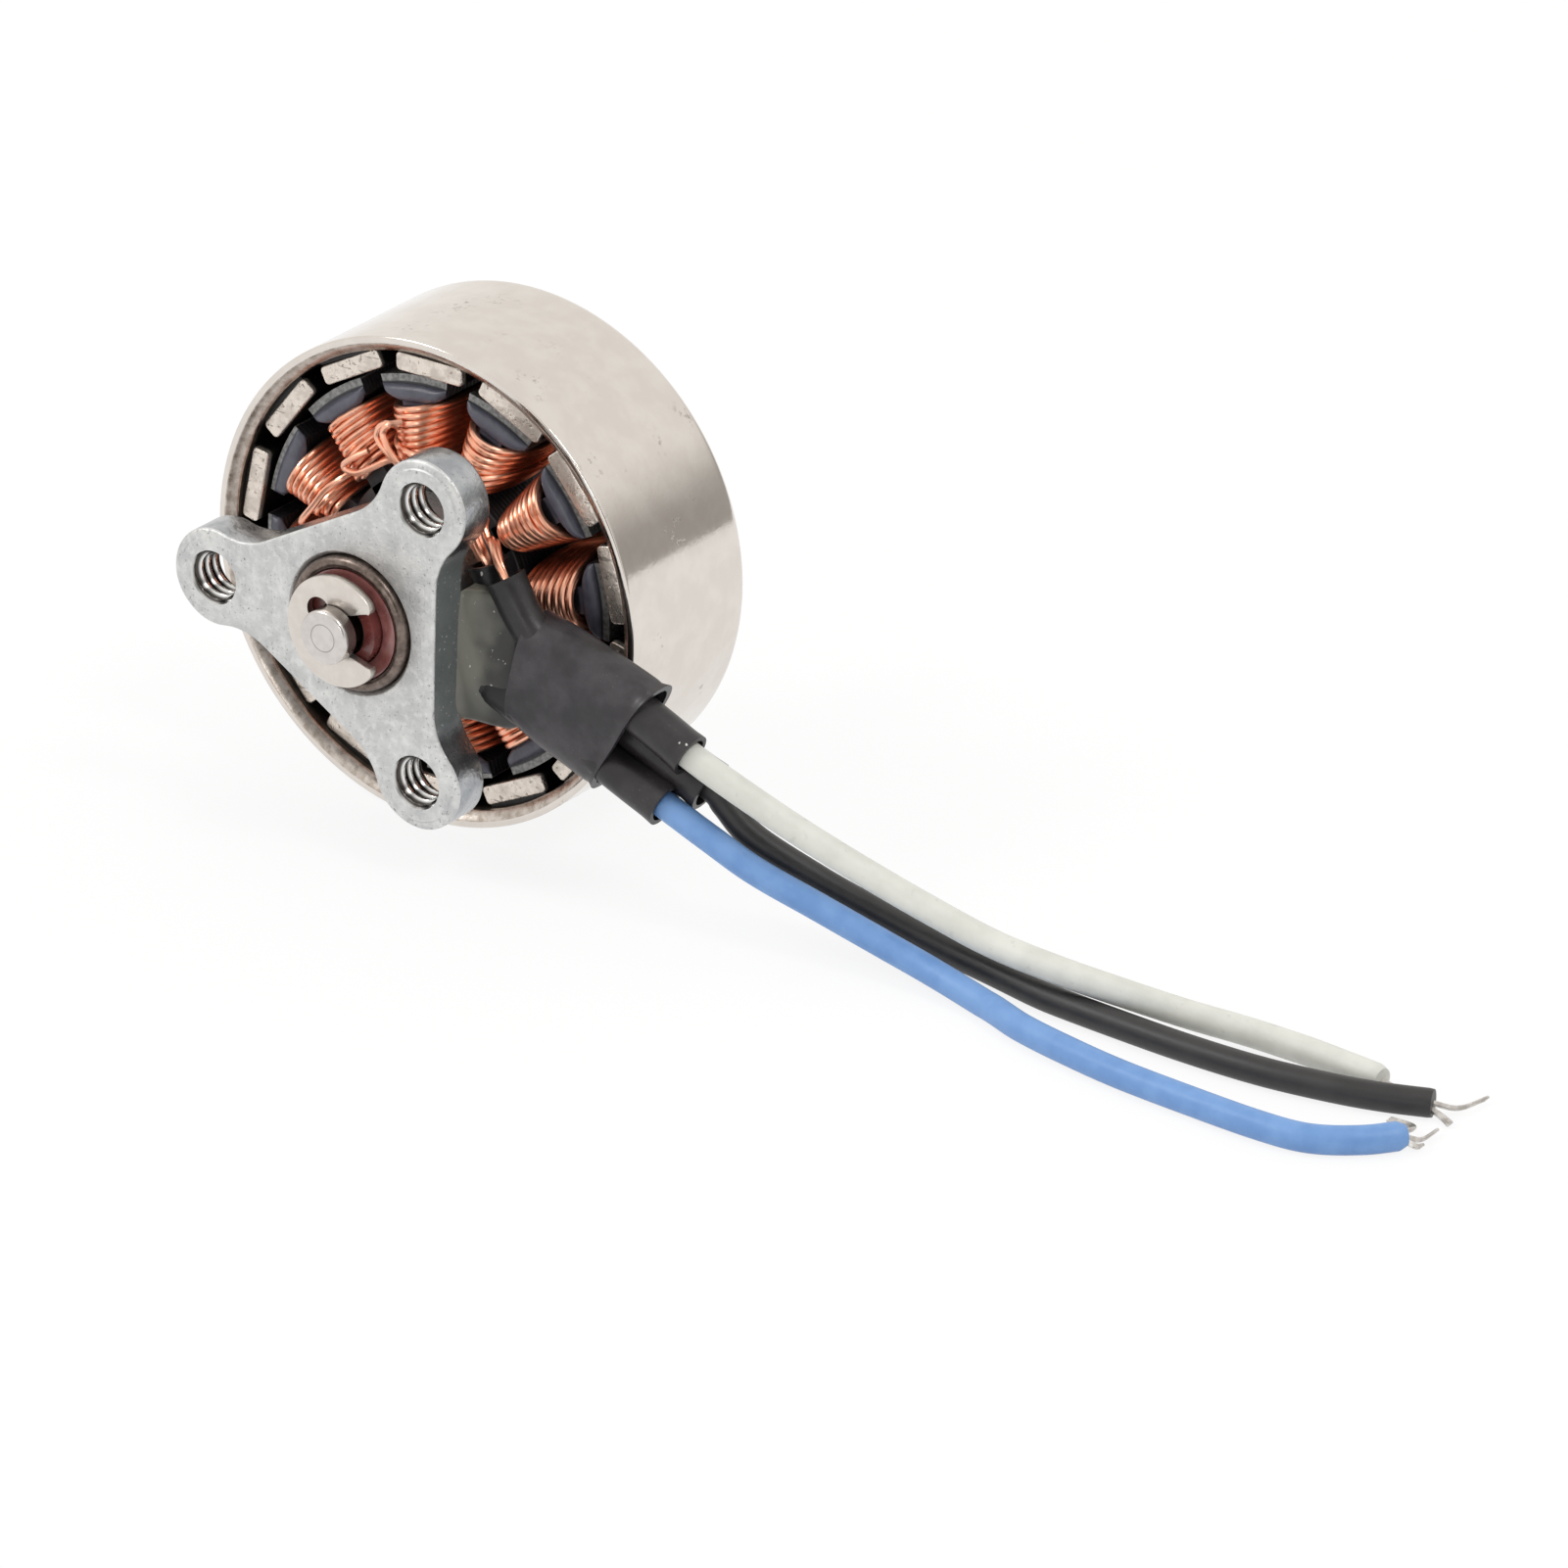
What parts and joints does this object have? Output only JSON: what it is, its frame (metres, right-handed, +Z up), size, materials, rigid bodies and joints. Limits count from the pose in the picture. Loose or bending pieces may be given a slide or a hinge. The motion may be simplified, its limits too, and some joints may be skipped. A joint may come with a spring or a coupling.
{
  "type": "brushless rc plane motor",
  "caption": "Small brushless motor with a rotating magnet bell, a wound stator on a lugged mount base, a propeller shaft and three short leads.",
  "frame": {"origin": "centre of the threaded lug circle, on the mount face", "axes": "+Y along the shaft from the mount face to the propeller end, +Z up as the motor lies on a table, +X towards the leads"},
  "size_m": [0.0515, 0.0199, 0.0182],
  "materials": {
    "cast_base": "mottled die-cast metal with a fine speckle",
    "bearing_ring": "dark bronze oxidised steel",
    "bearing_seal": "dark red glossy seal",
    "lamination": "bare grey lamination edge",
    "stator_coating": "blue-grey powder coating",
    "copper_wire": "lacquered copper wire",
    "solder": "dull solder",
    "lead_white": "off-white silicone insulation",
    "lead_black": "black silicone insulation",
    "lead_blue": "blue silicone insulation",
    "tinned_strand": "tinned copper strands",
    "heat_shrink": "matte black shrink tube",
    "adhesive": "translucent olive-grey adhesive",
    "nickel_bell": "warm nickel plating, satin, with fine scratches",
    "hub_brass": "turned brass",
    "ground_steel": "ground steel",
    "clip_steel": "nickel-plated spring steel",
    "magnet_glue": "black adhesive",
    "ball_steel": "polished",
    "cage_brass": "pressed",
    "magnet_nickel": "nickel-plated block, scuffed"
  },
  "bodies": {
    "stator": {"mount_base": "cast_base", "rear_bearing_outer_ring": "bearing_ring", "front_bearing_outer_ring": "bearing_ring", "rear_bearing_seals": "bearing_seal", "front_bearing_seals": "bearing_seal", "stator_core": "lamination", "rear_insulation": "stator_coating", "front_insulation": "stator_coating", "phase_tails": "copper_wire", "solder_joints": "solder", "lead_white": "lead_white", "lead_black": "lead_black", "lead_blue": "lead_blue", "strands_white": "tinned_strand", "strands_black": "tinned_strand", "strands_blue": "tinned_strand", "joint_sleeve_white": "heat_shrink", "joint_sleeve_black": "heat_shrink", "joint_sleeve_blue": "heat_shrink", "wrap_sleeve": "heat_shrink", "lead_adhesive": "adhesive", "coil_1": "copper_wire", "coil_2": "copper_wire", "coil_3": "copper_wire", "coil_4": "copper_wire", "coil_5": "copper_wire", "coil_6": "copper_wire", "coil_7": "copper_wire", "coil_8": "copper_wire", "coil_9": "copper_wire", "coil_10": "copper_wire", "coil_11": "copper_wire", "coil_12": "copper_wire"},
    "rotor": {"bell": "nickel_bell", "hub_bush": "hub_brass", "shaft": "ground_steel", "retaining_clip": "clip_steel", "shim_washers": "clip_steel", "magnet_adhesive": "magnet_glue", "rear_bearing_inner_ring": "ground_steel", "front_bearing_inner_ring": "ground_steel", "magnet_1": "magnet_nickel", "magnet_2": "magnet_nickel", "magnet_3": "magnet_nickel", "magnet_4": "magnet_nickel", "magnet_5": "magnet_nickel", "magnet_6": "magnet_nickel", "magnet_7": "magnet_nickel", "magnet_8": "magnet_nickel", "magnet_9": "magnet_nickel", "magnet_10": "magnet_nickel", "magnet_11": "magnet_nickel", "magnet_12": "magnet_nickel", "magnet_13": "magnet_nickel", "magnet_14": "magnet_nickel"},
    "rear_cage": {"rear_bearing_balls": "ball_steel", "rear_bearing_cage": "cage_brass"},
    "front_cage": {"front_bearing_balls": "ball_steel", "front_bearing_cage": "cage_brass"}
  },
  "joints": [
    {"name": "rotor_spin", "type": "hinge", "parent": "stator", "child": "rotor", "pos_m": [0, 0, 0], "axis": [0, 1, 0], "continuous": true},
    {"name": "rear_cage_spin", "type": "hinge", "parent": "stator", "child": "rear_cage", "pos_m": [0, 0, 0], "axis": [0, 1, 0], "continuous": true},
    {"name": "front_cage_spin", "type": "hinge", "parent": "stator", "child": "front_cage", "pos_m": [0, 0, 0], "axis": [0, 1, 0], "continuous": true}
  ],
  "couplings": [
    {"joint": "rear_cage_spin", "follows": "rotor_spin", "ratio": 0.3857},
    {"joint": "front_cage_spin", "follows": "rotor_spin", "ratio": 0.3857}
  ]
}
